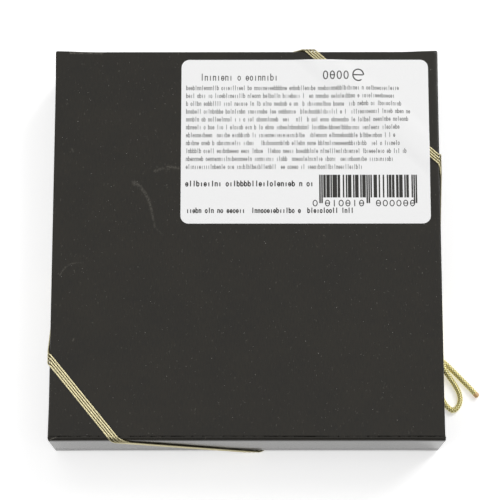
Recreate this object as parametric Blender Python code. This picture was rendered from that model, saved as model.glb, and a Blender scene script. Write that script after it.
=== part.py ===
"""A shut gift box of chocolate pralines, lying on its lid with its labelled underside up.

A deep tray and a low lid of black paper-covered board meet flush. Four thin gold elastic
cords run round the box and cut across all four corners. Their bow is tied where they turn
round the lid's edge on the +X side. One loop and one tail of it lie out on the ground.

Metres, +Z up. The origin is the middle of the footprint, on the ground.
"""

import math

import bmesh
import bpy
from mathutils import Vector

MM = 0.001

# the box
BOX_WIDTH = 154 * MM
BOX_DEPTH = 158 * MM
BOX_HEIGHT = 32 * MM
LID_HEIGHT = 6.0 * MM
SEAM_GAP = 0.3 * MM
FOLD_RADIUS = 0.7 * MM
FRONT_FOLD_RADIUS = 1.6 * MM
FOLD_SEGMENTS = 3
FRONT_FOLD_SEGMENTS = 4
RIM_RADIUS = 0.3 * MM

# the stretched elastic: four cords side by side
STRAND_COUNT = 4
STRAND_DIAMETER = 0.6 * MM
STRAND_PITCH = 0.9 * MM
STRAND_GAP = 0.3 * MM
STRAND_SPACE = STRAND_GAP + STRAND_DIAMETER
ARC_STEPS = 6

# where the middle of the elastic crosses the box's edges, along each edge
BASE_LEFT_CROSSING = -46.8 * MM
BASE_FRONT_CROSSING = -50.6 * MM
LID_FRONT_CROSSING = 3 * MM
LID_RIGHT_CROSSING = -41 * MM
BASE_RIGHT_CROSSING = 33 * MM
BASE_BACK_CROSSING = 25.4 * MM
LID_BACK_CROSSING = -10.5 * MM
LID_LEFT_CROSSING = -7.7 * MM

# the label, stuck down over the elastic
LABEL_WIDTH = 99.1 * MM
LABEL_DEPTH = 67.7 * MM
LABEL_CENTRE = Vector((23.4 * MM, 41.1 * MM))
LABEL_CORNER_RADIUS = 3.2 * MM
LABEL_THICKNESS = 0.15 * MM
LABEL_GAP = 0.3 * MM
LABEL_CORNER_STEPS = 5
TENT_FLAT = 2.1 * MM
TENT_FLANK = 4 * MM
TENT_STEPS = 5

# the bow, tied in the same elastic where it is slack and thicker
BOW_DIAMETER = 2.0 * MM
BOW_POINT_STEP = 0.9 * MM
KNOT_CENTRE = Vector((79.35, -41.2, 2.7)) * MM
KNOT_HALF_SIZE = Vector((1.1, 2.3, 2.4))

# centre lines in millimetres, each from one side of the knot
LOOP_ON_GROUND = [
    (79.3, -44.0, 3.2), (80.3, -46.1, 2.3), (82.0, -48.7, 1.3), (84.2, -52.3, 1.05),
    (85.8, -55.6, 1.05), (86.3, -58.3, 1.05), (85.9, -60.7, 1.05), (84.6, -62.3, 1.05),
    (83.0, -62.6, 1.05), (81.5, -61.3, 1.05), (80.3, -59.5, 1.05), (79.1, -57.4, 1.05),
    (78.3, -54.9, 1.05), (78.1, -51.5, 1.05), (78.1, -47.5, 1.05), (78.2, -44.0, 1.1),
]
LOOP_BY_WALL = [
    (79.2, -38.4, 1.1), (79.15, -36.5, 1.05), (78.7, -34.8, 1.05), (78.1, -32.5, 1.05),
    (78.05, -27.0, 1.05), (78.05, -22.5, 1.05), (78.05, -19.7, 1.3), (78.05, -17.9, 2.5),
    (78.05, -17.6, 4.0), (78.05, -18.8, 5.3), (78.05, -21.0, 5.6), (78.05, -24.5, 4.5),
    (78.1, -28.6, 3.15), (78.5, -30.0, 3.1), (78.85, -31.0, 3.1), (79.1, -32.5, 3.1),
    (79.2, -35.0, 3.1), (79.2, -38.4, 3.15),
]
TAIL_ON_GROUND = [
    (80.6, -43.4, 1.1), (83.9, -46.8, 1.05), (87.2, -50.3, 1.05), (90.5, -53.8, 1.05),
    (93.8, -57.2, 1.05),
]
TAIL_BY_WALL = [
    (79.1, -39.3, 5.55), (78.6, -37.6, 5.6), (78.15, -35.5, 6.15), (78.05, -32.0, 7.65),
    (78.05, -28.5, 9.15),
]

LID_FACE = STRAND_SPACE
BASE_FACE = LID_FACE + BOX_HEIGHT

# outward directions of the box's faces, and how far each face lies along its own
RIGHT = Vector((1, 0, 0))
LEFT = Vector((-1, 0, 0))
BACK = Vector((0, 1, 0))
FRONT = Vector((0, -1, 0))
UP = Vector((0, 0, 1))
DOWN = Vector((0, 0, -1))


def clear_scene():
    for old in list(bpy.data.objects):
        bpy.data.objects.remove(old, do_unlink=True)


def material(name, colour, roughness, metallic=0.0):
    made = bpy.data.materials.new(name)
    made.use_nodes = True
    shader = made.node_tree.nodes["Principled BSDF"]
    shader.inputs["Base Color"].default_value = (*colour, 1.0)
    shader.inputs["Roughness"].default_value = roughness
    shader.inputs["Metallic"].default_value = metallic
    return made


def add_object(name, data, finish):
    piece = bpy.data.objects.new(name, data)
    bpy.context.scene.collection.objects.link(piece)
    data.materials.append(finish)
    return piece


def mesh_object(name, bm, finish):
    bmesh.ops.recalc_face_normals(bm, faces=bm.faces)
    mesh = bpy.data.meshes.new(name)
    bm.to_mesh(mesh)
    bm.free()
    return add_object(name, mesh, finish)


def tray(name, low, high, rim, finish):
    """One paper-covered tray from low to high, with its open rim pressed shut at height rim.
    Its folded edges are round, the base's front one more than the others, and the rim's own
    edge is nearly sharp."""
    bm = bmesh.new()
    bmesh.ops.create_cube(bm, size=1)
    bmesh.ops.scale(bm, vec=(BOX_WIDTH, BOX_DEPTH, high - low), verts=bm.verts)
    bmesh.ops.translate(bm, vec=(0, 0, (low + high) / 2), verts=bm.verts)

    def lies_at(edge, axis, place):
        return all(abs(vertex.co[axis] - place) < MM / 100 for vertex in edge.verts)

    def round_off(edges, radius, segments):
        bmesh.ops.bevel(
            bm, geom=edges, offset=radius, segments=segments, profile=0.5, affect="EDGES"
        )

    sharp = [edge for edge in bm.edges if not lies_at(edge, 2, rim)]
    front = [
        edge for edge in sharp
        if lies_at(edge, 1, -BOX_DEPTH / 2) and lies_at(edge, 2, BASE_FACE)
    ]
    if front:
        round_off(front, FRONT_FOLD_RADIUS, FRONT_FOLD_SEGMENTS)
        bm.normal_update()
        sharp = [
            edge for edge in bm.edges
            if edge.calc_face_angle() > math.radians(60) and not lies_at(edge, 2, rim)
        ]
    round_off(sharp, FOLD_RADIUS, FOLD_SEGMENTS)
    round_off([edge for edge in bm.edges if lies_at(edge, 2, rim)], RIM_RADIUS, 1)
    piece = mesh_object(name, bm, finish)
    piece.data.shade_smooth()
    piece.data.set_sharp_from_angle(angle=math.radians(40))
    return piece


def face_distance(normal):
    """How far the box's face with this outward direction is from the origin."""
    if normal == UP:
        return BASE_FACE
    if normal == DOWN:
        return -LID_FACE
    return abs(normal.x) * BOX_WIDTH / 2 + abs(normal.y) * BOX_DEPTH / 2


def fold_radius(normal_a, normal_b):
    """The radius of the fold between two faces, by their outward directions."""
    if normal_a + normal_b == UP + FRONT:
        return FRONT_FOLD_RADIUS
    return FOLD_RADIUS


def elastic_runs():
    """The elastic's straight runs in order: the face each one lies on, and the two places on
    the box's sharp edges that the middle of it runs between."""
    half_x, half_y = BOX_WIDTH / 2, BOX_DEPTH / 2
    corners = [
        (UP, (-half_x, BASE_LEFT_CROSSING, BASE_FACE)),
        (FRONT, (BASE_FRONT_CROSSING, -half_y, BASE_FACE)),
        (DOWN, (LID_FRONT_CROSSING, -half_y, LID_FACE)),
        (RIGHT, (half_x, LID_RIGHT_CROSSING, LID_FACE)),
        (UP, (half_x, BASE_RIGHT_CROSSING, BASE_FACE)),
        (BACK, (BASE_BACK_CROSSING, half_y, BASE_FACE)),
        (DOWN, (LID_BACK_CROSSING, half_y, LID_FACE)),
        (LEFT, (-half_x, LID_LEFT_CROSSING, LID_FACE)),
    ]
    ends = [Vector(place) for _, place in corners]
    return [
        (normal, ends[i], ends[(i + 1) % len(ends)]) for i, (normal, _) in enumerate(corners)
    ]


def strand_line(run, side_shift, stand_off):
    """A point and the direction of one cord's straight line on a run's face."""
    normal, start, end = run
    direction = (end - start).normalized()
    return start + normal.cross(direction) * side_shift + normal * stand_off, direction


def point_at(line, normal, distance):
    """Where a line reaches this distance along a direction."""
    start, direction = line
    return start + direction * ((distance - start.dot(normal)) / direction.dot(normal))


def strand_points(side_shift, stand_off):
    """One cord's closed centre line: straight on the faces, and turning round each folded
    edge on an arc, while its place along the edge changes smoothly."""
    runs = elastic_runs()
    points = []
    for before, after in zip(runs, runs[1:] + runs[:1]):
        normal_a, normal_b = before[0], after[0]
        line_a = strand_line(before, side_shift, stand_off)
        line_b = strand_line(after, side_shift, stand_off)
        fold = fold_radius(normal_a, normal_b)
        radius = fold + stand_off
        length = radius * math.pi / 2
        inner_a = face_distance(normal_a) - fold
        inner_b = face_distance(normal_b) - fold
        along = normal_a.cross(normal_b)
        start = point_at(line_a, normal_b, inner_b).dot(along)
        end = point_at(line_b, normal_a, inner_a).dot(along)
        slope_a = line_a[1].dot(along) / line_a[1].dot(normal_b)
        slope_b = -line_b[1].dot(along) / line_b[1].dot(normal_a)
        centre = normal_a * inner_a + normal_b * inner_b
        for step in range(ARC_STEPS + 1):
            t = step / ARC_STEPS
            turn = t * math.pi / 2
            place = (
                start * (1 - t) ** 2 * (1 + 2 * t)
                + end * t * t * (3 - 2 * t)
                + length * (slope_a * t * (1 - t) ** 2 - slope_b * t * t * (1 - t))
            )
            outward = normal_a * math.cos(turn) + normal_b * math.sin(turn)
            points.append(centre + outward * radius + along * place)
    return points


def tube(name, points, diameter, closed, finish):
    curve = bpy.data.curves.new(name, "CURVE")
    curve.dimensions = "3D"
    curve.bevel_depth = diameter / 2
    curve.bevel_resolution = 2
    curve.use_fill_caps = not closed
    spline = curve.splines.new("POLY")
    spline.points.add(len(points) - 1)
    for target, place in zip(spline.points, points):
        target.co = (*place, 1)
    spline.use_cyclic_u = closed
    spline.use_smooth = True
    return add_object(name, curve, finish)


def smooth_route(route, step):
    """Points about a step apart on a smooth curve through a route given in millimetres."""
    places = [Vector(place) * MM for place in route]
    places = [places[0] * 2 - places[1]] + places + [places[-1] * 2 - places[-2]]
    points = []
    for a, b, c, d in zip(places, places[1:], places[2:], places[3:]):
        count = max(1, round((c - b).length / step))
        for i in range(count):
            t = i / count
            points.append(
                0.5 * (2 * b + (c - a) * t + (2 * a - 5 * b + 4 * c - d) * t * t
                       + (3 * b - a - 3 * c + d) * t ** 3)
            )
    return points + [places[-2]]


def tent_height(across):
    """How much the label is lifted at this distance from the middle of the elastic."""
    lift = STRAND_SPACE
    beyond = abs(across) - TENT_FLAT
    if beyond <= 0:
        return lift
    if beyond >= TENT_FLANK:
        return 0.0
    return lift * (1 + math.cos(math.pi * beyond / TENT_FLANK)) / 2


def label(finish):
    """A paper label with round corners. It lies flat on the box and tents over the elastic."""
    bm = bmesh.new()
    outline = []
    for quarter in range(4):
        middle = math.radians(45 + 90 * quarter)
        corner = Vector((
            math.copysign(LABEL_WIDTH / 2 - LABEL_CORNER_RADIUS, math.cos(middle)),
            math.copysign(LABEL_DEPTH / 2 - LABEL_CORNER_RADIUS, math.sin(middle)),
        ))
        for step in range(LABEL_CORNER_STEPS + 1):
            turn = math.radians(90 * (quarter + step / LABEL_CORNER_STEPS))
            round_part = Vector((math.cos(turn), math.sin(turn))) * LABEL_CORNER_RADIUS
            outline.append(bm.verts.new((*(LABEL_CENTRE + corner + round_part), 0)))
    bm.faces.new(outline)

    start = Vector((BOX_WIDTH / 2, BASE_RIGHT_CROSSING, 0))
    end = Vector((BASE_BACK_CROSSING, BOX_DEPTH / 2, 0))
    across = UP.cross((end - start).normalized())
    for side in (-1, 1):
        for step in range(TENT_STEPS + 1):
            shift = side * (TENT_FLAT + TENT_FLANK * step / TENT_STEPS)
            bmesh.ops.bisect_plane(
                bm, geom=bm.verts[:] + bm.edges[:] + bm.faces[:],
                plane_co=start + across * shift, plane_no=across,
            )
    for vertex in bm.verts:
        vertex.co.z = BASE_FACE + LABEL_GAP + tent_height((vertex.co - start).dot(across))
    raised = bmesh.ops.extrude_face_region(bm, geom=bm.faces[:])["geom"]
    top = [item for item in raised if isinstance(item, bmesh.types.BMVert)]
    bmesh.ops.translate(bm, vec=UP * LABEL_THICKNESS, verts=top)
    return mesh_object("label", bm, finish)


def knot(finish):
    """The bow's tight knot, pressed against the box's side."""
    bm = bmesh.new()
    bmesh.ops.create_icosphere(bm, subdivisions=3, radius=MM)
    bmesh.ops.scale(bm, vec=KNOT_HALF_SIZE, verts=bm.verts)
    bmesh.ops.translate(bm, vec=KNOT_CENTRE, verts=bm.verts)
    piece = mesh_object("bow_knot", bm, finish)
    piece.data.shade_smooth()
    return piece


def build():
    clear_scene()
    black_paper = material("black_paper", (0.018, 0.017, 0.015), 0.4)
    label_paper = material("label_paper", (0.86, 0.86, 0.85), 0.5)
    gold_elastic = material("gold_elastic", (0.83, 0.66, 0.26), 0.3, 1.0)

    seam_low = LID_FACE + LID_HEIGHT
    seam_high = seam_low + SEAM_GAP
    tray("lid", LID_FACE, seam_low, seam_low, black_paper)
    tray("base_tray", seam_high, BASE_FACE, seam_high, black_paper)
    label(label_paper)

    stand_off = STRAND_GAP + STRAND_DIAMETER / 2
    for number in range(STRAND_COUNT):
        side_shift = (number - (STRAND_COUNT - 1) / 2) * STRAND_PITCH
        points = strand_points(side_shift, stand_off)
        tube(f"strand_{number + 1}", points, STRAND_DIAMETER, True, gold_elastic)

    knot(gold_elastic)
    slack = {
        "bow_loop_1": LOOP_ON_GROUND,
        "bow_loop_2": LOOP_BY_WALL,
        "bow_tail_1": TAIL_ON_GROUND,
        "bow_tail_2": TAIL_BY_WALL,
    }
    for name, route in slack.items():
        tube(name, smooth_route(route, BOW_POINT_STEP), BOW_DIAMETER, False, gold_elastic)


build()
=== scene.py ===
"""A shut gift box of chocolate pralines, lying on its lid with its labelled underside up."""

import math
import random

import bmesh
import bpy
import numpy as np
from mathutils import Matrix, Vector, noise


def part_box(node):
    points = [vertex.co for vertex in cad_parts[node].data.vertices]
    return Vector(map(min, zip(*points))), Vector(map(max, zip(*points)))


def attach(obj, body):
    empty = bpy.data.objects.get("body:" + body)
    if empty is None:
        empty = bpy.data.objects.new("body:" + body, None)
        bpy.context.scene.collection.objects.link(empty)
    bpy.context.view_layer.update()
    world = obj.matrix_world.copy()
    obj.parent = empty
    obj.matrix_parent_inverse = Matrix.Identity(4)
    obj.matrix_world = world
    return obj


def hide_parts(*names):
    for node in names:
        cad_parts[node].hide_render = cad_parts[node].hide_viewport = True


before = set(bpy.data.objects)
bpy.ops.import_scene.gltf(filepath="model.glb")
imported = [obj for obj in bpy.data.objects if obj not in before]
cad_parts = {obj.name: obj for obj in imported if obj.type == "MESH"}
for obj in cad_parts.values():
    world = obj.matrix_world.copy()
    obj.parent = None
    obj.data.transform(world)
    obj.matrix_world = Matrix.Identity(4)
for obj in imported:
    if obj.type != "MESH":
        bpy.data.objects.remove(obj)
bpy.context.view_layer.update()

MM = 0.001


# ---- Camera ---------------------------------------------------------------------------------
# A long lens looks down on the box from nearly overhead, a little from its front.

CAMERA_TARGET = Vector((1.38, -3.44, 32.9)) * MM
CAMERA_DISTANCE = 0.808
CAMERA_TILT = math.radians(12.57)
CAMERA_TURN = math.radians(0.73)
CAMERA_LENS = 147.5
CAMERA_SENSOR = 36

camera_data = bpy.data.cameras.new("camera")
camera_data.lens = CAMERA_LENS
camera_data.sensor_width = CAMERA_SENSOR
camera = bpy.data.objects.new("camera", camera_data)
bpy.context.scene.collection.objects.link(camera)
towards_camera = Vector((
    math.sin(CAMERA_TURN) * math.sin(CAMERA_TILT),
    -math.cos(CAMERA_TURN) * math.sin(CAMERA_TILT),
    math.cos(CAMERA_TILT),
))
camera.location = CAMERA_TARGET + towards_camera * CAMERA_DISTANCE
# the picture's upward direction is the box's own depth, so that its back edge lies level
to_the_right = Vector((0, 1, 0)).cross(towards_camera).normalized()
camera.rotation_euler = Matrix(
    (to_the_right, towards_camera.cross(to_the_right), towards_camera)
).transposed().to_euler()
bpy.context.scene.camera = camera
bpy.context.scene.view_settings.view_transform = "Standard"


# ---- Bow ------------------------------------------------------------------------------------
# The elastic's slack ends: a latex core under a braid of metallised polyester yarn, tied in a
# bow at the lid's edge. One loop and tail lie out on the ground, the others along the wall.

CROWN_RADIUS = 1.15 * MM
BOW_POINT_STEP = 0.45 * MM
LOOP_ON_GROUND = [
    (78.7, -43.2, 3.4), (80.0, -46.5, 2.7), (82.0, -49.4, 1.7), (84.2, -52.6, 1.15),
    (85.6, -55.4, 1.15), (86.1, -58.0, 1.15), (85.6, -60.4, 1.15), (84.2, -62.2, 1.15),
    (82.7, -62.6, 1.15), (81.2, -61.5, 1.15), (79.9, -60.0, 1.15), (78.9, -58.0, 1.15),
    (78.35, -55.4, 1.15), (78.2, -51.5, 1.15), (78.2, -47.5, 1.15), (78.3, -43.2, 1.3),
]
LOOP_BY_WALL = [
    (78.4, -39.4, 1.6), (78.3, -36.5, 1.15), (78.2, -34.8, 1.15), (78.15, -32.5, 1.15),
    (78.15, -27.0, 1.15), (78.15, -22.5, 1.15), (78.12, -19.7, 1.4), (78.1, -17.9, 2.5),
    (78.1, -17.6, 4.0), (78.1, -18.8, 5.2), (78.1, -21.0, 5.5), (78.1, -24.5, 4.6),
    (78.1, -28.6, 3.5), (78.1, -30.0, 3.45), (78.1, -31.0, 3.45), (78.15, -32.5, 3.45),
    (78.25, -35.0, 3.4), (78.4, -39.4, 3.2),
]
TAIL_ON_GROUND = [
    (78.6, -42.2, 1.9), (80.75, -44.0, 1.3), (84.1, -47.3, 1.15), (87.3, -50.65, 1.15),
    (90.5, -54.0, 1.15), (92.2, -55.9, 1.15),
]
TAIL_BY_WALL = [
    (78.35, -40.2, 4.6), (78.15, -37.6, 5.7), (78.0, -35.5, 6.2), (78.0, -32.0, 7.5),
    (78.0, -30.4, 8.2),
]


def linear(colour):
    """A colour given as sRGB hex, in linear light."""
    parts = [int(colour[i:i + 2], 16) / 255 for i in (0, 2, 4)]
    return (*(p / 12.92 if p <= 0.04045 else ((p + 0.055) / 1.055) ** 2.4 for p in parts), 1)


def add(tree, kind, inputs=None, **settings):
    """A new node with its settings, its inputs linked or set to values."""
    node = tree.nodes.new(kind)
    for name, value in settings.items():
        setattr(node, name, value)
    for socket, value in (inputs or {}).items():
        if isinstance(value, bpy.types.NodeSocket):
            tree.links.new(value, node.inputs[socket])
        else:
            node.inputs[socket].default_value = value
    return node


def new_material(name, constants):
    """A material with these constants on its shader. Returns it, its tree and its shader."""
    material = bpy.data.materials.new(name)
    material.use_nodes = True
    shader = material.node_tree.nodes["Principled BSDF"]
    for socket, value in constants.items():
        shader.inputs[socket].default_value = value
    return material, material.node_tree, shader


def mottle(tree, shader, dark, pale, size):
    """Colour that drifts between two close tones, about this size apart."""
    where = add(tree, "ShaderNodeTexCoord")
    drift = add(tree, "ShaderNodeTexNoise", {
        "Vector": where.outputs["Object"], "Scale": 1 / size, "Detail": 3.0,
    })
    tone = add(tree, "ShaderNodeMix", {
        "Factor": drift.outputs["Fac"], "A": linear(dark), "B": linear(pale),
    }, data_type="RGBA")
    tree.links.new(tone.outputs["Result"], shader.inputs["Base Color"])
    return drift.outputs["Fac"]


def new_shape_tree(name, sockets):
    """A geometry tree with one start shape and named inputs, whose output is still open."""
    tree = bpy.data.node_groups.new(name, "GeometryNodeTree")
    tree.interface.new_socket("Geometry", in_out="INPUT", socket_type="NodeSocketGeometry")
    tree.interface.new_socket("Geometry", in_out="OUTPUT", socket_type="NodeSocketGeometry")
    for label, kind in sockets:
        tree.interface.new_socket(label, in_out="INPUT", socket_type="NodeSocket" + kind)
    return tree, add(tree, "NodeGroupInput").outputs


def finish_shape_tree(tree, shape, material):
    """Ends a geometry tree in plain faces of one material."""
    real = add(tree, "GeometryNodeRealizeInstances", {0: shape})
    covered = add(
        tree, "GeometryNodeSetMaterial", {"Geometry": real.outputs[0], "Material": material}
    )
    add(tree, "NodeGroupOutput", {0: covered.outputs[0]})


def place(name, mesh):
    piece = bpy.data.objects.new(name, mesh)
    bpy.context.scene.collection.objects.link(piece)
    return piece


def grow(name, tree, values, start):
    """Runs a geometry tree on a start mesh and keeps the result as a plain mesh."""
    carrier = place(name + "_start", start)
    modifier = carrier.modifiers.new("shape", "NODES")
    modifier.node_group = tree
    for item in tree.interface.items_tree:
        if item.in_out == "INPUT" and item.name in values:
            modifier[item.identifier] = values[item.name]
    evaluated = carrier.evaluated_get(bpy.context.evaluated_depsgraph_get())
    mesh = bpy.data.meshes.new_from_object(evaluated)
    bpy.data.objects.remove(carrier)
    return mesh


def line_mesh(points, closed):
    """A chain of edges through points."""
    mesh = bpy.data.meshes.new("line")
    edges = [(i, i + 1) for i in range(len(points) - 1)]
    if closed:
        edges.append((len(points) - 1, 0))
    mesh.from_pydata([tuple(point) for point in points], edges, [])
    return mesh


def smooth_route(route, step):
    """Points about a step apart on a smooth curve through a route given in millimetres."""
    places = [Vector(stop) * MM for stop in route]
    places = [places[0] * 2 - places[1]] + places + [places[-1] * 2 - places[-2]]
    points = []
    for a, b, c, d in zip(places, places[1:], places[2:], places[3:]):
        count = max(1, round((c - b).length / step))
        for i in range(count):
            t = i / count
            points.append(
                0.5 * (2 * b + (c - a) * t + (2 * a - 5 * b + 4 * c - d) * t * t
                       + (3 * b - a - 3 * c + d) * t ** 3)
            )
    return points + [places[-2]]


def route_length(points):
    return sum((b - a).length for a, b in zip(points, points[1:]))


def braid_tree():
    """A round braid along a line: yarns cross in staggered rows, and each crossing is a crown
    that stands out of the braid. The crown's height, scaled by Contrast and raised by Shine,
    stays on the mesh as the level of the finish's painted highlight and painted shade."""
    tree, given = new_shape_tree("round_braid", [
        ("Radius", "Float"), ("Relief", "Float"), ("Plait", "Float"), ("Rows", "Float"),
        ("Ring step", "Float"), ("Sides", "Int"), ("Caps", "Bool"), ("Shine", "Float"),
        ("Contrast", "Float"), ("Material", "Material"),
    ])
    curve = add(tree, "GeometryNodeMeshToCurve", {"Mesh": given["Geometry"]})
    even = add(
        tree, "GeometryNodeResampleCurve",
        {"Curve": curve.outputs[0], "Length": given["Ring step"]}, mode="LENGTH",
    )
    place_on_spline = add(tree, "GeometryNodeSplineParameter")
    along = add(tree, "GeometryNodeCaptureAttribute", {"Geometry": even.outputs[0]})
    along.capture_items.new("FLOAT", "Along")
    tree.links.new(place_on_spline.outputs["Length"], along.inputs["Along"])
    circle = add(
        tree, "GeometryNodeCurvePrimitiveCircle",
        {"Resolution": given["Sides"], "Radius": given["Radius"]},
    )
    around = add(tree, "GeometryNodeCaptureAttribute", {"Geometry": circle.outputs[0]})
    around.capture_items.new("FLOAT", "Around")
    tree.links.new(place_on_spline.outputs["Factor"], around.inputs["Around"])
    tube = add(tree, "GeometryNodeCurveToMesh", {
        "Curve": along.outputs["Geometry"], "Profile Curve": around.outputs["Geometry"],
        "Fill Caps": given["Caps"],
    })
    lengthwise = add(
        tree, "ShaderNodeMath", {0: along.outputs["Along"], 1: given["Plait"]},
        operation="DIVIDE",
    )
    crosswise = add(
        tree, "ShaderNodeMath", {0: around.outputs["Around"], 1: given["Rows"]},
        operation="MULTIPLY",
    )
    waves = []
    for turns in (lengthwise, crosswise):
        angle = add(
            tree, "ShaderNodeMath", {0: turns.outputs[0], 1: 2 * math.pi}, operation="MULTIPLY"
        )
        waves.append(add(tree, "ShaderNodeMath", {0: angle.outputs[0]}, operation="COSINE"))
    apart = add(
        tree, "ShaderNodeMath", {0: waves[0].outputs[0], 1: waves[1].outputs[0]},
        operation="SUBTRACT",
    )
    both_sides = add(tree, "ShaderNodeMath", {0: apart.outputs[0]}, operation="ABSOLUTE")
    # the crown's height, from 0 in the hollows to 1 at its middle
    crown = add(tree, "ShaderNodeMath", {0: both_sides.outputs[0], 1: 0.5}, operation="MULTIPLY")
    sunk = add(tree, "ShaderNodeMath", {0: crown.outputs[0], 1: 1.0}, operation="SUBTRACT")
    depth = add(
        tree, "ShaderNodeMath", {0: sunk.outputs[0], 1: given["Relief"]}, operation="MULTIPLY"
    )
    offset = add(
        tree, "ShaderNodeVectorMath",
        {0: add(tree, "GeometryNodeInputNormal").outputs[0], "Scale": depth.outputs[0]},
        operation="SCALE",
    )
    # painted light for the finish: high on the crowns for a painted highlight, low in the hollows
    # for painted shade
    painted_light_level = add(
        tree, "ShaderNodeMath",
        {0: crown.outputs[0], 1: given["Contrast"], 2: given["Shine"]},
        operation="MULTIPLY_ADD",
    )
    kept = add(
        tree, "GeometryNodeStoreNamedAttribute",
        {"Geometry": tube.outputs[0], "Name": "crown", "Value": painted_light_level.outputs[0]},
        data_type="FLOAT", domain="POINT",
    )
    shaped = add(
        tree, "GeometryNodeSetPosition",
        {"Geometry": kept.outputs[0], "Offset": offset.outputs[0]},
    )
    smooth = add(tree, "GeometryNodeSetShadeSmooth", {"Geometry": shaped.outputs[0]})
    finish_shape_tree(tree, smooth.outputs[0], given["Material"])
    return tree


def gold_braid(name, deep, middle, pale, metallic):
    """Metallised polyester yarn, braided: pale foil on the crowns of the yarns as a painted
    highlight, and deep gold between them as painted shade and a painted reflection of foil in
    foil."""
    material, tree, shader = new_material(name, {"Metallic": metallic, "Roughness": 0.3})
    # the stored level paints the foil: pale on the crowns as a painted highlight, deep in the
    # hollows as painted shade
    crown = add(tree, "ShaderNodeAttribute", attribute_name="crown")
    shade = add(tree, "ShaderNodeValToRGB", {"Fac": crown.outputs["Fac"]})
    shade.color_ramp.elements[0].color = linear(deep)
    shade.color_ramp.elements[0].position = 0.08
    shade.color_ramp.elements[1].color = linear(pale)
    shade.color_ramp.elements[1].position = 0.7
    shade.color_ramp.elements.new(0.35).color = linear(middle)
    tree.links.new(shade.outputs["Color"], shader.inputs["Base Color"])
    # the foil's own creases, about 0.15 mm apart
    where = add(tree, "ShaderNodeTexCoord")
    creases = add(
        tree, "ShaderNodeTexNoise",
        {"Vector": where.outputs["Object"], "Scale": 1 / (0.15 * MM), "Detail": 2.0},
    )
    bump = add(
        tree, "ShaderNodeBump",
        {"Height": creases.outputs["Fac"], "Strength": 0.3, "Distance": 0.03 * MM},
    )
    tree.links.new(bump.outputs["Normal"], shader.inputs["Normal"])
    return material


round_braid = braid_tree()
# slack, the yarn's creased facets face every way, so the braid scatters more than it mirrors
# its deep tone is painted shade in the hollows, its pale tone a painted highlight on the crowns
slack_foil = gold_braid("metallised braid, slack", "2E2002", "EACF63", "FFFBBE", 0.4)

SLACK_BRAID = {
    "Radius": CROWN_RADIUS, "Relief": 0.18 * MM, "Plait": 0.95 * MM, "Rows": 4.0,
    "Ring step": 0.12 * MM, "Sides": 36, "Caps": True, "Shine": 0.0, "Contrast": 1.5,
    "Material": slack_foil,
}


def bow_cord(name, route, node):
    """One slack length of the elastic along its route."""
    points = smooth_route(route, BOW_POINT_STEP)
    piece = place(name, grow(name, round_braid, SLACK_BRAID, line_mesh(points, False)))
    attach(piece, "root")
    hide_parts(node)
    return piece, points


for name, route in (("bow_loop_1", LOOP_ON_GROUND), ("bow_loop_2", LOOP_BY_WALL)):
    loop, loop_points = bow_cord(name + "_braid", route, name)

# The ends are melted so that they don't fray: the yarn fuses into a dull coppery bead.
TIP_LENGTH = 2.8 * MM
TIP_RADIUS = 1.12 * MM
# the bead's middle lies past the cord's end by this share of its length
TIP_PAST_END = 0.15
TIP_BLUNTNESS = 0.7
TIP_LUMPS = 0.08
TIP_WIDENING, TIP_FLATTENING = 1.02, 0.9

melted_end, melted_tree, melted_shader = new_material("melted polyester", {"Roughness": 0.45})
mottle(melted_tree, melted_shader, "E3B070", "F8DAAA", 0.8 * MM)


def melted_tip(name, points):
    """A bead over the last of a cord: a short turned shape, round at its end."""
    forward = (points[-1] - points[-2]).normalized()
    turn = forward.to_track_quat("Z", "Y").to_matrix().to_4x4()
    bm = bmesh.new()
    bmesh.ops.create_uvsphere(bm, u_segments=24, v_segments=14, radius=1)
    for vertex in bm.verts:
        x, y, z = vertex.co
        bulge = 1 + TIP_LUMPS * noise.noise(vertex.co * 2)
        width = TIP_RADIUS * bulge
        blunt = math.copysign(abs(z) ** TIP_BLUNTNESS, z)
        vertex.co = Vector((
            x * width * TIP_WIDENING, y * width * TIP_FLATTENING, blunt * TIP_LENGTH / 2,
        ))
    bmesh.ops.transform(bm, matrix=turn, verts=bm.verts)
    middle = points[-1] + forward * TIP_LENGTH * TIP_PAST_END
    bmesh.ops.translate(bm, vec=middle, verts=bm.verts)
    mesh = bpy.data.meshes.new(name)
    bm.to_mesh(mesh)
    bm.free()
    mesh.materials.append(melted_end)
    mesh.shade_smooth()
    piece = place(name, mesh)
    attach(piece, "root")


for name, route in (("bow_tail_1", TAIL_ON_GROUND), ("bow_tail_2", TAIL_BY_WALL)):
    _, tail_points = bow_cord(name + "_braid", route, name)
    melted_tip(name + "_tip", tail_points)

# The knot: the cord wound twice round the bow's middle and pulled tight.
knot_low, knot_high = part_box("bow_knot")
KNOT_SHIFT = Vector((0.75, 0, 0)) * MM
KNOT_CENTRE = (knot_low + knot_high) / 2 - KNOT_SHIFT
KNOT_TURNS = 2.15
KNOT_POINTS = 90
KNOT_REACH = Vector((0.4, 1.55, 1.6)) * MM
KNOT_CORD_RADIUS = 0.75 * MM
KNOT_RELIEF = 0.12 * MM

knot_points = []
for i in range(KNOT_POINTS):
    t = i / (KNOT_POINTS - 1)
    angle = math.pi + t * KNOT_TURNS * 2 * math.pi
    knot_points.append(KNOT_CENTRE + Vector((
        math.cos(angle) * KNOT_REACH.x, (0.5 - t) * KNOT_REACH.y, math.sin(angle) * KNOT_REACH.z,
    )))
knot_mesh = grow("bow_knot_braid", round_braid, {
    **SLACK_BRAID, "Radius": KNOT_CORD_RADIUS, "Relief": KNOT_RELIEF,
}, line_mesh(knot_points, False))
knot = place("bow_knot_braid", knot_mesh)
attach(knot, "root")
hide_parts("bow_knot")


# ---- Stretched elastic ----------------------------------------------------------------------
# Four lengths of the same cord, pulled to a third of their thickness, run side by side round the
# box and cut across its corners. Nothing but their own tension holds them.

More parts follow.
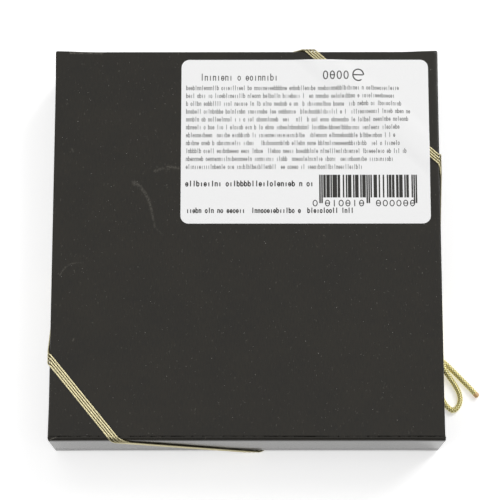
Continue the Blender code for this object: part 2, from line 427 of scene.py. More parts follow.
STRAND_DIAMETER = 0.72 * MM
STRAND_PITCH = 0.9 * MM
STRAND_COUNT = 4
STRAND_LIFT = 0.02 * MM
STRAND_RELIEF = 0.025 * MM
STRAND_PLAIT = 1.25 * MM
ARC_STEPS = 10
FOLD_RADIUS = 0.7 * MM
FRONT_FOLD_RADIUS = 1.6 * MM
RIGHT, LEFT = Vector((1, 0, 0)), Vector((-1, 0, 0))
BACK, FRONT = Vector((0, 1, 0)), Vector((0, -1, 0))
UP, DOWN = Vector((0, 0, 1)), Vector((0, 0, -1))

half_x, half_y, base_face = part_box("base_tray")[1]
lid_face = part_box("lid")[0].z

# the two crossings at the labelled corner, along the right edge and along the back edge
BASE_RIGHT_CROSSING = 33 * MM
BASE_BACK_CROSSING = 25.4 * MM

# the faces that the middle of the elastic runs over, and where it comes onto each
CROSSINGS = [
    (UP, (-half_x, -46.8 * MM, base_face)),
    (FRONT, (-50.6 * MM, -half_y, base_face)),
    (DOWN, (3 * MM, -half_y, lid_face)),
    (RIGHT, (half_x, -41 * MM, lid_face)),
    (UP, (half_x, BASE_RIGHT_CROSSING, base_face)),
    (BACK, (BASE_BACK_CROSSING, half_y, base_face)),
    (DOWN, (-10.5 * MM, half_y, lid_face)),
    (LEFT, (-half_x, -7.7 * MM, lid_face)),
]


def face_distance(normal):
    """How far the box's face with this outward direction is from the origin."""
    if normal == UP:
        return base_face
    if normal == DOWN:
        return -lid_face
    return abs(normal.x) * half_x + abs(normal.y) * half_y


def strand_points(side_shift, stand_off):
    """One cord's closed centre line: straight on the faces, and turning round each folded
    edge on an arc, while its place along the edge changes smoothly."""
    ends = [Vector(stop) for _, stop in CROSSINGS]
    lines = []
    for (normal, _), start, end in zip(CROSSINGS, ends, ends[1:] + ends[:1]):
        direction = (end - start).normalized()
        start = start + normal.cross(direction) * side_shift + normal * stand_off
        lines.append((normal, start, direction))

    def point_at(line, normal, distance):
        _, start, direction = line
        return start + direction * ((distance - start.dot(normal)) / direction.dot(normal))

    points = []
    for before, after in zip(lines, lines[1:] + lines[:1]):
        normal_a, normal_b = before[0], after[0]
        fold = FRONT_FOLD_RADIUS if normal_a + normal_b == UP + FRONT else FOLD_RADIUS
        inner_a, inner_b = face_distance(normal_a) - fold, face_distance(normal_b) - fold
        along = normal_a.cross(normal_b)
        start = point_at(before, normal_b, inner_b).dot(along)
        end = point_at(after, normal_a, inner_a).dot(along)
        slope_a = before[2].dot(along) / before[2].dot(normal_b)
        slope_b = -after[2].dot(along) / after[2].dot(normal_a)
        radius = fold + stand_off
        length = radius * math.pi / 2
        for step in range(ARC_STEPS + 1):
            t = step / ARC_STEPS
            shift = (
                start * (1 - t) ** 2 * (1 + 2 * t) + end * t * t * (3 - 2 * t)
                + length * (slope_a * t * (1 - t) ** 2 - slope_b * t * t * (1 - t))
            )
            turn = t * math.pi / 2
            outward = normal_a * math.cos(turn) + normal_b * math.sin(turn)
            points.append(
                normal_a * inner_a + normal_b * inner_b + outward * radius + along * shift
            )
    return points


# stretched thin, the foil opens, and the cord's pale core shows between the yarns
# its deeper tone in the hollows is painted shade, its paler crowns a painted highlight
open_foil = gold_braid("metallised braid, stretched", "40381E", "B3AA86", "D6CFAC", 1.0)

for number in range(STRAND_COUNT):
    side_shift = (number - (STRAND_COUNT - 1) / 2) * STRAND_PITCH
    points = strand_points(side_shift, STRAND_LIFT + STRAND_DIAMETER / 2)
    around_box = route_length(points + points[:1])
    strand_mesh = grow("strand", round_braid, {
        "Radius": STRAND_DIAMETER / 2, "Relief": STRAND_RELIEF, "Rows": 4.0,
        "Plait": around_box / round(around_box / STRAND_PLAIT),
        "Ring step": 0.2 * MM, "Sides": 16, "Caps": False, "Shine": 0.3, "Contrast": 0.3,
        "Material": open_foil,
    }, line_mesh(points, True))
    strand = place(f"strand_{number + 1}_braid", strand_mesh)
    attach(strand, "root")
    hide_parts(f"strand_{number + 1}")


# ---- Trays ----------------------------------------------------------------------------------
# Greyboard trays covered in one sheet of black coated paper, folded over the edges and glued.
# The walls bow in a little along their folded edge, between the stiffer corners.

CELL = 4 * MM
WALL_BOW = 0.1 * MM
BACK_BOW = 0.5 * MM
BOW_EASE = 16 * MM
# how far in from a wall, in millimetres, the skin moves with it
BOW_REACH = 3
# the hand-laid paper's own unevenness: how far apart, and how deep
PAPER_WAVE = 22 * MM
PAPER_UNEVENNESS = 0.08 * MM
OVERLAP_STEP = 0.08 * MM
OVERLAP_INSET = 1.3 * MM
OVERLAP_SLOPE = 0.15 * MM
FLAP_WIDTH = 13 * MM
FLARE_LENGTH = 2.6 * MM
FLARE_CUT = 2 * MM
FLARE = 0.4 * MM
RIM_RADIUS = 0.3 * MM
# the shut rims touch through the paper's thickness
RIM_REACH = 0.14 * MM


def covered_tray(name, node, rim_is_low):
    """A tray's outside as one closed skin, finely divided so that its faces can bow."""
    low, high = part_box(node)
    if rim_is_low:
        low.z -= RIM_REACH
        face_z, rim_z = high.z, low.z
    else:
        high.z += RIM_REACH
        face_z, rim_z = low.z, high.z
    bm = bmesh.new()
    bmesh.ops.create_cube(bm, size=1)
    bmesh.ops.scale(bm, vec=high - low, verts=bm.verts)
    bmesh.ops.translate(bm, vec=(high + low) / 2, verts=bm.verts)
    flap_edges = [
        side * (half_y - inset)
        for side in (-1, 1)
        for inset in (
            OVERLAP_INSET, OVERLAP_INSET + OVERLAP_SLOPE, FLARE_CUT, FLARE_LENGTH,
            FLAP_WIDTH, FLAP_WIDTH + MM,
        )
    ]
    cuts = {
        0: list(np.arange(low.x + CELL, high.x, CELL)),
        1: list(np.arange(low.y + CELL, high.y, CELL)) + flap_edges,
        2: list(np.linspace(low.z, high.z, 7)[1:-1]),
    }
    for axis, places in cuts.items():
        normal = Vector([float(axis == i) for i in range(3)])
        for cut in places:
            bmesh.ops.bisect_plane(
                bm, geom=bm.verts[:] + bm.edges[:] + bm.faces[:],
                plane_co=normal * float(cut), plane_no=normal,
            )

    def lies_at(edge, axis, spot):
        return all(abs(vertex.co[axis] - spot) < MM / 100 for vertex in edge.verts)

    def sharp_edges():
        bm.normal_update()
        return [e for e in bm.edges if e.calc_face_angle() > 1 and not lies_at(e, 2, rim_z)]

    if rim_is_low:
        front = [e for e in sharp_edges() if lies_at(e, 1, low.y) and lies_at(e, 2, face_z)]
        bmesh.ops.bevel(
            bm, geom=front, offset=FRONT_FOLD_RADIUS, segments=8, profile=0.5, affect="EDGES"
        )
    bmesh.ops.bevel(
        bm, geom=sharp_edges(), offset=FOLD_RADIUS, segments=5, profile=0.5, affect="EDGES"
    )
    rim = [e for e in bm.edges if lies_at(e, 2, rim_z) and e.calc_face_angle() > 1]
    bmesh.ops.bevel(bm, geom=rim, offset=RIM_RADIUS, segments=2, profile=0.5, affect="EDGES")

    for vertex in bm.verts:
        x, y, z = vertex.co
        # on a wall: how far it bows in, most half way along and towards the folded edge
        by_face = 1 - abs(z - face_z) / (high.z - low.z)
        edge_share_x = max(0.0, 1 - ((half_x - abs(x)) / MM) / BOW_REACH)
        edge_share_y = max(0.0, 1 - ((half_y - abs(y)) / MM) / BOW_REACH)
        bow_y = BACK_BOW if y > 0 and rim_is_low else WALL_BOW
        middle_x = min(1.0, (half_x - abs(x)) / BOW_EASE)
        middle_y = min(1.0, (half_y - abs(y)) / BOW_EASE)
        ease_x = middle_x * middle_x * (3 - 2 * middle_x)
        ease_y = middle_y * middle_y * (3 - 2 * middle_y)
        vertex.co.y -= math.copysign(edge_share_y * ease_x * bow_y * by_face, y)
        bow_x = WALL_BOW if x > 0 else 2 * WALL_BOW
        vertex.co.x -= math.copysign(edge_share_x * ease_y * bow_x * by_face, x)
        # the paper stands off the front right corner where it is folded round
        if rim_is_low and x > 0 and y < 0:
            reach = max(0.0, 1 - (half_y + y) / FLARE_LENGTH)
            vertex.co.x += FLARE * reach * edge_share_x * by_face
        # the paper is laid on by hand, and isn't quite flat
        lift = noise.noise(Vector((x, y, z)) / PAPER_WAVE)
        if abs(z - face_z) < 0.1 * MM:
            dip = (lift * 0.5 + 0.5) * PAPER_UNEVENNESS
            vertex.co.z -= math.copysign(dip, face_z - rim_z)
        # on the side walls, the front and back flaps lie under the side panel's paper
        if abs(x) > half_x - 0.2 * MM and abs(z - face_z) > FOLD_RADIUS:
            inset = half_y - abs(y)
            sink = OVERLAP_STEP if inset < OVERLAP_INSET + 0.05 * MM else 0
            if inset > FLAP_WIDTH + 0.5 * MM:
                sink = OVERLAP_STEP * 0.7
            vertex.co.x -= math.copysign(sink, x)
    mesh = bpy.data.meshes.new(name)
    bmesh.ops.recalc_face_normals(bm, faces=bm.faces)
    bm.to_mesh(mesh)
    bm.free()
    mesh.materials.append(black_paper)
    mesh.shade_smooth()
    mesh.set_sharp_from_angle(angle=math.radians(50))
    piece = place(name, mesh)
    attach(piece, "root")
    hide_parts(node)


# Where the paper has been rubbed, in millimetres: from, to, how far the rub reaches, and how
# pale it is.
RUBS = [
    ((-44.9, 24.3), (-44.5, 23.5), 1.3, 0.3), ((-44.6, 24.2), (-42.3, 22.5), 1.2, 0.34),
    ((-42.3, 22.5), (-40.3, 19.8), 1.0, 0.32), ((-40.3, 19.8), (-38.7, 16.7), 0.95, 0.34),
    ((-38.7, 16.7), (-37.7, 13.0), 0.9, 0.32), ((-37.7, 13.0), (-36.9, 9.2), 0.75, 0.27),
    ((-36.9, 9.2), (-36.3, 5.9), 0.65, 0.22), ((-36.3, 5.9), (-33.1, 2.6), 0.6, 0.12),
    ((-36.6, 28.9), (-33.4, 29.9), 0.9, 0.27), ((-35.6, 30.6), (-35.3, 28.4), 0.6, 0.2),
    ((-33.4, 29.9), (-30.8, 29.6), 0.7, 0.16), ((-31.4, 30.6), (-27.0, 30.0), 1.0, 0.3),
    ((-31.8, 28.6), (-31.2, 31.4), 0.6, 0.12),
    ((-73.4, -13.5), (-72.6, -12.0), 0.55, 0.25), ((-72.6, -12.0), (-71.3, -10.3), 0.55, 0.27),
    ((-71.3, -10.3), (-69.2, -9.0), 0.55, 0.25), ((-69.2, -9.0), (-66.8, -8.5), 0.5, 0.22),
    ((-66.8, -8.5), (-64.4, -8.5), 0.5, 0.14),
    ((-69.6, 37.9), (-69.2, 36.9), 0.6, 0.28), ((-67.8, -39.8), (-67.5, -38.9), 0.55, 0.28),
    ((-71.0, 78.0), (-58.0, 77.9), 0.7, 0.5), ((-77.0, -78.9), (-73.5, -77.5), 0.25, 0.7),
    ((-73.5, -77.5), (-60.0, -77.3), 0.2, 0.18), ((60.0, -77.4), (77.0, -77.5), 0.25, 0.12),
]


def rub_amount(tree, where):
    """How rubbed the paper is at a place: the palest of the rubs, each fading out sideways."""
    palest = None
    for start, end, reach, pale in RUBS:
        start, end = Vector((*start, 0)) * MM, Vector((*end, 0)) * MM
        line = end - start
        from_start = add(tree, "ShaderNodeVectorMath", {0: where, 1: start},
                         operation="SUBTRACT")
        level = add(tree, "ShaderNodeVectorMath", {0: from_start.outputs[0], 1: (1, 1, 0)},
                    operation="MULTIPLY")
        share = add(tree, "ShaderNodeVectorMath",
                    {0: level.outputs[0], 1: line / line.length_squared},
                    operation="DOT_PRODUCT")
        held = add(tree, "ShaderNodeClamp", {"Value": share.outputs["Value"]})
        nearest = add(tree, "ShaderNodeVectorMath", {0: line, "Scale": held.outputs[0]},
                      operation="SCALE")
        apart = add(tree, "ShaderNodeVectorMath", {0: level.outputs[0], 1: nearest.outputs[0]},
                    operation="DISTANCE")
        fade = add(tree, "ShaderNodeMapRange", {
            "Value": apart.outputs["Value"], "From Min": 0.0, "From Max": reach * MM,
            "To Min": pale, "To Max": 0.0,
        }, interpolation_type="SMOOTHSTEP")
        if palest is None:
            palest = fade.outputs[0]
        else:
            palest = add(tree, "ShaderNodeMath", {0: palest, 1: fade.outputs[0]},
                         operation="MAXIMUM").outputs[0]
    return palest


def coated_black_paper():
    """Black dyed paper under a thin satin coat: a warm near-black that mirrors at a grazing
    angle, with faint fibres along the box, rubs, and pale specks where the coat is chipped."""
    material, tree, shader = new_material(
        "black coated cover paper", {"IOR": 1.5, "Roughness": 0.22}
    )
    where = add(tree, "ShaderNodeTexCoord").outputs["Object"]
    # fibres lie along the sheet's grain: about 0.35 mm wide and 3 mm long
    stretch = add(
        tree, "ShaderNodeMapping", {"Vector": where, "Scale": (1 / 0.35, 1 / 3, 1 / 3)}
    )
    fibres = add(
        tree, "ShaderNodeTexNoise",
        {"Vector": stretch.outputs[0], "Scale": 1 / MM, "Detail": 3.0, "Roughness": 0.6},
    )
    patches = add(
        tree, "ShaderNodeTexNoise", {"Vector": where, "Scale": 1 / (14 * MM), "Detail": 4.0}
    )
    both = add(tree, "ShaderNodeMix", {
        "Factor": 0.3, "A": fibres.outputs["Fac"], "B": patches.outputs["Fac"],
    }, data_type="FLOAT")
    shade = add(tree, "ShaderNodeValToRGB", {"Fac": both.outputs[0]})
    shade.color_ramp.elements[0].color = linear("15120A")
    shade.color_ramp.elements[0].position = 0.4
    shade.color_ramp.elements[1].color = linear("1F1B11")
    shade.color_ramp.elements[1].position = 0.6
    # flecks of undyed fibre, about 0.4 mm wide and 1 mm long, show here and there
    short = add(
        tree, "ShaderNodeMapping", {"Vector": where, "Scale": (1 / 0.7, 1 / 1.4, 1 / 1.4)}
    )
    flecks = add(
        tree, "ShaderNodeTexNoise", {"Vector": short.outputs[0], "Scale": 1 / MM, "Detail": 2.0}
    )
    fleck = add(tree, "ShaderNodeMapRange", {
        "Value": flecks.outputs["Fac"], "From Min": 0.68, "From Max": 0.8, "To Max": 0.28,
    })
    # a rub is broken up by the paper's tooth, about 0.5 mm
    tooth = add(
        tree, "ShaderNodeTexNoise", {"Vector": where, "Scale": 1 / (0.5 * MM), "Detail": 3.0}
    )
    broken = add(tree, "ShaderNodeMapRange", {
        "Value": tooth.outputs["Fac"], "From Min": 0.35, "From Max": 0.6,
    })
    rubbed = add(
        tree, "ShaderNodeMath",
        {0: rub_amount(tree, where), 1: broken.outputs[0], 2: fleck.outputs[0]},
        operation="MULTIPLY_ADD",
    )
    covered = add(tree, "ShaderNodeMix", {
        "Factor": rubbed.outputs[0], "A": shade.outputs["Color"], "B": linear("77736A"),
    }, data_type="RGBA")
    tree.links.new(covered.outputs["Result"], shader.inputs["Base Color"])
    bump = add(
        tree, "ShaderNodeBump",
        {"Height": fibres.outputs["Fac"], "Strength": 0.2, "Distance": 0.03 * MM},
    )
    tree.links.new(bump.outputs["Normal"], shader.inputs["Normal"])
    return material


black_paper = coated_black_paper()
covered_tray("base_tray_paper", "base_tray", True)
covered_tray("lid_paper", "lid", False)


# ---- Label ----------------------------------------------------------------------------------
# A white paper label with round corners, from a sheet of eight. It was stuck on after the
# elastic, so it tents over it.

LABEL_CORNER = 3.2 * MM
LABEL_THICKNESS = 0.11 * MM
LABEL_LIFT = 0.03 * MM
LABEL_CORNER_STEPS = 10
TENT_FLAT = 1.9 * MM
TENT_FLANK = 6.5 * MM
TENT_CUTS = 16

label_low, label_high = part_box("label")
label_middle = (label_low + label_high) / 2
label_size = label_high - label_low
chord_start = Vector((half_x, BASE_RIGHT_CROSSING, 0))
chord_end = Vector((BASE_BACK_CROSSING, half_y, 0))
across_chord = UP.cross((chord_end - chord_start).normalized())


def tent_height(x, y):
    """How much the label is lifted off the box at a place."""
    across = (Vector((x, y, 0)) - chord_start).dot(across_chord)
    beyond = (abs(across) - TENT_FLAT) / TENT_FLANK
    if beyond >= 1:
        return 0.0
    return STRAND_DIAMETER * (1 + math.cos(math.pi * max(0.0, beyond))) / 2


def label_paper():
    """Uncoated white label paper: soft and matt, with a faint tooth."""
    material, tree, shader = new_material("uncoated label paper", {"Roughness": 0.6})
    tooth = mottle(tree, shader, "F3F3F3", "F8F8F8", 0.4 * MM)
    bump = add(
        tree, "ShaderNodeBump", {"Height": tooth, "Strength": 0.2, "Distance": 0.02 * MM}
    )
    tree.links.new(bump.outputs["Normal"], shader.inputs["Normal"])
    return material


bm = bmesh.new()
outline = []
for quarter in range(4):
    middle = math.radians(45 + 90 * quarter)
    corner_x = math.copysign(label_size.x / 2 - LABEL_CORNER, math.cos(middle))
    corner_y = math.copysign(label_size.y / 2 - LABEL_CORNER, math.sin(middle))
    for step in range(LABEL_CORNER_STEPS + 1):
        turn = math.radians(90 * quarter + 90 / LABEL_CORNER_STEPS * step)
        outline.append(bm.verts.new((
            label_middle.x + corner_x + math.cos(turn) * LABEL_CORNER,
            label_middle.y + corner_y + math.sin(turn) * LABEL_CORNER,
            0,
        )))
bm.faces.new(outline)
for side in (-1, 1):
    for step in range(TENT_CUTS + 1):
        shift = side * (TENT_FLAT + TENT_FLANK * step / TENT_CUTS)
        bmesh.ops.bisect_plane(
            bm, geom=bm.verts[:] + bm.edges[:] + bm.faces[:],
            plane_co=chord_start + across_chord * shift, plane_no=across_chord,
        )
for vertex in bm.verts:
    vertex.co.z = base_face + LABEL_LIFT + tent_height(vertex.co.x, vertex.co.y)
bm.normal_update()
raised = bmesh.ops.extrude_face_region(bm, geom=bm.faces[:])["geom"]
top = [item for item in raised if isinstance(item, bmesh.types.BMVert)]
bmesh.ops.translate(bm, vec=UP * LABEL_THICKNESS, verts=top)
bmesh.ops.recalc_face_normals(bm, faces=bm.faces)
label_mesh = bpy.data.meshes.new("label_sheet")
bm.to_mesh(label_mesh)
bm.free()
label_mesh.materials.append(label_paper())
label_mesh.shade_smooth()
label_mesh.set_sharp_from_angle(angle=math.radians(35))
label = place("label_sheet", label_mesh)
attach(label, "root")
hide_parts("label")

# The print: black ink in rings, arches and strokes that stand for text. They can't be read.
INK_THICKNESS = 0.04 * MM
INK_LIFT = 0.012 * MM
WORD_GAP_CHANCE = 0.15


def print_tree():
    """A line of print: at each even step one of six simple shapes, with gaps for words."""
    tree, given = new_shape_tree("printed_line", [
        ("Start", "Vector"), ("Letters", "Int"), ("Pitch", "Float"), ("Height", "Float"),
        ("Width", "Float"), ("Stroke", "Float"), ("Gaps", "Float"), ("Kinds", "Int"),
        ("Seed", "Int"), ("Material", "Material"),
    ])
    # the shapes, drawn one unit high: their strokes are bars and bent bars of one thickness
    round_line = add(tree, "GeometryNodeCurvePrimitiveCircle", {"Resolution": 12, "Radius": 0.5})
    oval = add(tree, "GeometryNodeTransform", {
        "Geometry": round_line.outputs[0],
        "Scale": add(tree, "ShaderNodeCombineXYZ", {"X": given["Width"], "Y": 0.9, "Z": 1.0})
        .outputs[0],
    })
    section = add(tree, "GeometryNodeCurvePrimitiveQuadrilateral", {
        "Width": given["Stroke"], "Height": 1.0,
    })
    ring = add(tree, "GeometryNodeCurveToMesh", {
        "Curve": oval.outputs[0], "Profile Curve": section.outputs[0],
    }).outputs[0]

    def bar(width, height, x, y):
        size = add(tree, "ShaderNodeCombineXYZ", {"X": width, "Y": height, "Z": 1.0})
        block = add(tree, "GeometryNodeMeshCube", {"Size": size.outputs[0]})
        spot = add(tree, "ShaderNodeMath", {0: given["Width"], 1: x}, operation="MULTIPLY")
        moved = add(tree, "GeometryNodeTransform", {
            "Geometry": block.outputs[0],
            "Translation": add(tree, "ShaderNodeCombineXYZ", {"X": spot.outputs[0], "Y": y})
            .outputs[0],
        })
        return moved.outputs[0]

    stroke, width = given["Stroke"], given["Width"]
    letters = (
        (ring,),
        (ring, bar(width, stroke, 0, 0.0)),
        (bar(stroke, 1.0, 0, 0.0),),
        (bar(stroke, 1.0, -0.45, 0.0), bar(stroke, 0.9, 0.45, -0.05), bar(width, stroke, 0, 0.4)),
        (bar(stroke, 1.45, 0, 0.22),),
        (ring, bar(stroke, 1.45, -0.5, 0.22)),
    )
    # joined last to first, since the join stacks its links in reverse
    choice = add(tree, "GeometryNodeJoinGeometry")
    for parts in reversed(letters):
        letter = add(tree, "GeometryNodeJoinGeometry")
        for part in parts:
            tree.links.new(part, letter.inputs[0])
        single = add(tree, "GeometryNodeGeometryToInstance", {0: letter.outputs[0]})
        tree.links.new(single.outputs[0], choice.inputs[0])

    step = add(tree, "ShaderNodeCombineXYZ", {"X": given["Pitch"]})
    line = add(tree, "GeometryNodeMeshLine", {
        "Count": given["Letters"], "Start Location": given["Start"], "Offset": step.outputs[0],
    }, mode="OFFSET")
    gap = add(
        tree, "FunctionNodeRandomValue",
        {"Probability": given["Gaps"], "Seed": given["Seed"]}, data_type="BOOLEAN",
    )
    words = add(
        tree, "GeometryNodeDeleteGeometry",
        {"Geometry": line.outputs[0], "Selection": gap.outputs[3]}, domain="POINT",
    )
    kind = add(tree, "FunctionNodeRandomValue", {
        4: 0, 5: given["Kinds"], "Seed": given["Seed"],
    }, data_type="INT")
    size = add(tree, "ShaderNodeCombineXYZ", {
        "X": given["Height"], "Y": given["Height"], "Z": INK_THICKNESS,
    })
    printed = add(tree, "GeometryNodeInstanceOnPoints", {
        "Points": words.outputs[0], "Instance": choice.outputs[0], "Pick Instance": True,
        "Instance Index": kind.outputs[2], "Scale": size.outputs[0],
    })
    finish_shape_tree(tree, printed.outputs[0], given["Material"])
    return tree


# ink dries matt on uncoated paper, and its black is a little uneven
black_ink, ink_tree, ink_shader = new_material("black printing ink", {"Roughness": 0.5})
mottle(ink_tree, ink_shader, "12110E", "2A2823", 0.6 * MM)
printed_line = print_tree()
print_meshes = []


def print_text(left, baseline, width, height, pitch, stroke, seed, gaps=WORD_GAP_CHANCE,
               kinds=5):
    """A line of print, in millimetres from the label's top left corner."""
    print_meshes.append(grow("text", printed_line, {
        "Start": (
            label_low.x + (left + pitch / 2) * MM,
            label_high.y - (baseline - height / 2) * MM,
            0.0,
        ),
        "Letters": round(width / pitch), "Pitch": pitch * MM, "Height": height * MM,
        "Width": 0.62 * pitch / height, "Stroke": stroke / height, "Gaps": gaps,
        "Kinds": kinds, "Seed": seed, "Material": black_ink,
    }, bpy.data.meshes.new("text")))


PARAGRAPH_LINES = 11
PARAGRAPH_PITCH = 3.27
for line_number in range(PARAGRAPH_LINES):
    last = line_number == PARAGRAPH_LINES - 1
    line_width = 70.5 if last else 86 + 7 * noise.noise(Vector((line_number * 1.7, 0.4, 0)))
    print_text(
        1.9, 12.7 + line_number * PARAGRAPH_PITCH, line_width, 1.35, 0.88, 0.18, line_number
    )
# the heading, the figures beside it, the bold line under the paragraph and the bottom line
print_text(7.5, 8.7, 31.3, 2.0, 1.65, 0.32, 33)
print_text(56.5, 8.3, 10.9, 3.6, 2.75, 0.42, 30, 0.0, 2)
print_text(1.7, 52.5, 52.5, 1.6, 1.46, 0.42, 23)
print_text(2.2, 63.4, 66.2, 1.5, 1.23, 0.38, 24)
# the figures under the bar code
DIGIT_HEIGHT = 2.6
for left, width in ((52.0, 2.4), (56.9, 16.8), (77.1, 16.0)):
    print_text(left, 60.7, width, DIGIT_HEIGHT, 2.7, 0.36, round(left), 0.0, 2)

# The bar code: twelve groups of seven steps with two bars in each, between three pairs of
# longer guard bars. The widths are random, so it stands for no number.
BAR_STEP = 0.407 * MM
INK_SPREAD = 0.45
BAR_TOP = label_high.y - 47.8 * MM
BAR_LENGTH = 9.3 * MM
GUARD_LENGTH = 11.6 * MM
BAR_LEFT = label_low.x + 55.1 * MM
BAR_SEED = 4
GROUP_STEPS = 7
GROUPS = 15
GUARD_GROUPS = (0, 7, 14)


def bar_widths(chance):
    """Four widths, white, black, white, black, of 1 to 4 steps, which fill seven steps."""
    while True:
        widths = [chance.choice((1, 1, 2, 2, 3, 4)) for _ in range(3)]
        last = GROUP_STEPS - sum(widths)
        if 1 <= last <= 4:
            return widths + [last]


bars = []
chance = random.Random(BAR_SEED)
step = 0
for group in range(GROUPS):
    if group in GUARD_GROUPS:
        step += 0 if group == 0 else 1
        bars += [(step, 1, GUARD_LENGTH), (step + 2, 1, GUARD_LENGTH)]
        step += 3
        continue
    place_in_group = step
    for number, width in enumerate(bar_widths(chance)):
        if number % 2:
            bars.append((place_in_group, width, BAR_LENGTH))
        place_in_group += width
    step += GROUP_STEPS

bm = bmesh.new()
for mesh in print_meshes:
    bm.from_mesh(mesh)
for first_step, width, length in bars:
    corners = bmesh.ops.create_cube(bm, size=1)["verts"]
    bmesh.ops.scale(
        bm, vec=((width + INK_SPREAD) * BAR_STEP, length, INK_THICKNESS), verts=corners
    )
    bmesh.ops.translate(
        bm, vec=(BAR_LEFT + (first_step + width / 2) * BAR_STEP, BAR_TOP - length / 2, 0),
        verts=corners,
    )
# the ring mark beside the weight, an oval ring open at its lower right, with a bar across it
RING_CENTRE = Vector((label_low.x + 71.0 * MM, label_high.y - 6.4 * MM, 0))
RING_SIZE = Vector((2.4 * MM, 2.7 * MM))
RING_WALL = 0.5 * MM
RING_SIDES = 40
RING_OPENING = 5
ring_corners = []
for i in range(RING_SIDES - RING_OPENING):
    turn = 2 * math.pi * i / RING_SIDES
    direction = Vector((math.cos(turn), math.sin(turn), 0))
    corners = []
    for inset, lift in ((0, 0), (0, 1), (RING_WALL, 1), (RING_WALL, 0)):
        corners.append(bm.verts.new(RING_CENTRE + Vector((
            direction.x * (RING_SIZE.x - inset), direction.y * (RING_SIZE.y - inset),
            (lift - 0.5) * INK_THICKNESS,
        ))))
    ring_corners.append(corners)
for here, there in zip(ring_corners, ring_corners[1:]):
    for i in range(4):
        j = (i + 1) % 4
        bm.faces.new((here[i], there[i], there[j], here[j]))
for ring_end in (ring_corners[0], ring_corners[-1]):
    bm.faces.new(ring_end)
ring_bar = bmesh.ops.create_cube(bm, size=1)["verts"]
bmesh.ops.scale(
    bm, vec=((RING_SIZE.x - RING_WALL) * 2, RING_WALL, INK_THICKNESS), verts=ring_bar
)
bmesh.ops.translate(bm, vec=RING_CENTRE, verts=ring_bar)
ink_height = base_face + LABEL_LIFT + LABEL_THICKNESS + INK_LIFT
for vertex in bm.verts:
    vertex.co.z += ink_height + tent_height(vertex.co.x, vertex.co.y)
bmesh.ops.recalc_face_normals(bm, faces=bm.faces)
ink_mesh = bpy.data.meshes.new("label_print")
bm.to_mesh(ink_mesh)
bm.free()
ink_mesh.materials.clear()
ink_mesh.materials.append(black_ink)
ink = place("label_print", ink_mesh)
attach(ink, "root")


# ---- Dust -----------------------------------------------------------------------------------
# Pale specks of paper dust, shed by cut sheets, lie loose on the black face and cling there.
# They are seen only because the face under them is black.

DUST_MARGIN_X = 4 * MM
DUST_MARGIN_Y = 5 * MM
GRAIN_SIZE = 0.13 * MM
SPECKS_PER_SQUARE_METRE = 19000.0


def dust_tree():
    """Specks scattered over the whole face, each a tiny flattened grain. The label hides
    those that it covers."""
    tree, given = new_shape_tree("dust", [
        ("Width", "Float"), ("Depth", "Float"), ("Density", "Float"), ("Grain", "Float"),
        ("Seed", "Int"), ("Material", "Material"),
    ])
    ground = add(tree, "GeometryNodeMeshGrid", {
        "Size X": given["Width"], "Size Y": given["Depth"], "Vertices X": 2, "Vertices Y": 2,
    })
    specks = add(tree, "GeometryNodeDistributePointsOnFaces", {
        "Mesh": ground.outputs["Mesh"], "Density": given["Density"], "Seed": given["Seed"],
    }, distribute_method="RANDOM")
    scale = add(tree, "FunctionNodeRandomValue", {
        0: (0.35, 0.35, 0.25), 1: (1.3, 1.0, 0.5), "Seed": given["Seed"],
    }, data_type="FLOAT_VECTOR")
    size = add(tree, "ShaderNodeVectorMath", {0: scale.outputs[0], "Scale": given["Grain"]},
               operation="SCALE")
    turn = add(tree, "FunctionNodeRandomValue", {
        0: (0, 0, 0), 1: (0, 0, 2 * math.pi), "Seed": given["Seed"],
    }, data_type="FLOAT_VECTOR")
    grain = add(tree, "GeometryNodeMeshIcoSphere", {"Radius": 1.0, "Subdivisions": 1})
    dust = add(tree, "GeometryNodeInstanceOnPoints", {
        "Points": specks.outputs["Points"], "Instance": grain.outputs[0],
        "Rotation": turn.outputs[0], "Scale": size.outputs[0],
    })
    finish_shape_tree(tree, dust.outputs[0], given["Material"])
    return tree


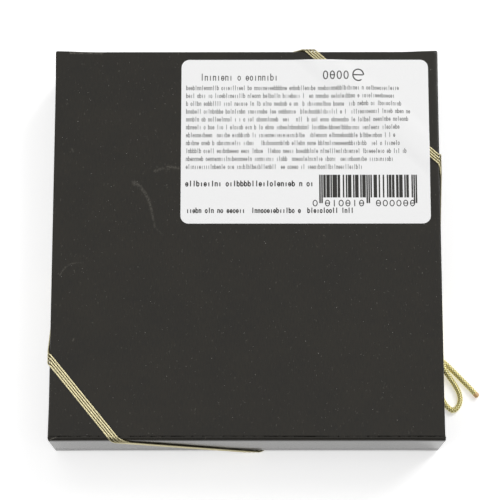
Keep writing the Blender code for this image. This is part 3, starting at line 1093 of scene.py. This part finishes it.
paper_dust, dust_colours, dust_shader = new_material("paper dust", {"Roughness": 0.9})
mottle(dust_colours, dust_shader, "6E6B65", "B5B2AC", 4 * MM)
dust_mesh = grow("dust", dust_tree(), {
    "Width": 2 * half_x - DUST_MARGIN_X, "Depth": 2 * half_y - DUST_MARGIN_Y,
    "Density": SPECKS_PER_SQUARE_METRE, "Grain": GRAIN_SIZE, "Seed": 11,
    "Material": paper_dust,
}, bpy.data.meshes.new("dust"))
dust_mesh.transform(Matrix.Translation((0, 0, base_face)))
dust = place("dust", dust_mesh)
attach(dust, "root")


# ---- Studio ---------------------------------------------------------------------------------
# A plain white table that glows faintly, under large soft lamps.

FLOOR_REACH = 3.0

light_table, table_tree, table_shader = new_material("white acrylic light table", {
    "Roughness": 0.8, "Emission Color": (1, 1, 1, 1), "Emission Strength": 0.4,
})
mottle(table_tree, table_shader, "FAFAFA", "FEFEFE", 40 * MM)
floor_mesh = bpy.data.meshes.new("floor")
floor_mesh.from_pydata(
    [(-FLOOR_REACH, -FLOOR_REACH, 0), (FLOOR_REACH, -FLOOR_REACH, 0),
     (FLOOR_REACH, FLOOR_REACH, 0), (-FLOOR_REACH, FLOOR_REACH, 0)], [], [(0, 1, 2, 3)],
)
floor_mesh.materials.append(light_table)
floor = place("floor", floor_mesh)

world = bpy.data.worlds.new("studio")
world.use_nodes = True
background = world.node_tree.nodes["Background"]
background.inputs["Color"].default_value = (1, 1, 1, 1)
background.inputs["Strength"].default_value = 0.2
bpy.context.scene.world = world

# each lamp's name, place, size in metres and power in watts
LAMPS = [
    ("overhead panel", (0, 0.2, 1.3), 2.0, 6.3),
    ("left lamp", (-1.2, -0.35, 1.0), 0.9, 10.0),
    ("back right lamp", (0.85, 0.85, 1.1), 0.8, 12.5),
]
for name, spot, size, power in LAMPS:
    lamp_data = bpy.data.lights.new(name, "AREA")
    lamp_data.size = size
    lamp_data.energy = power
    lamp = bpy.data.objects.new(name, lamp_data)
    bpy.context.scene.collection.objects.link(lamp)
    lamp.location = spot
    lamp.rotation_euler = Vector(spot).to_track_quat("Z", "Y").to_euler()
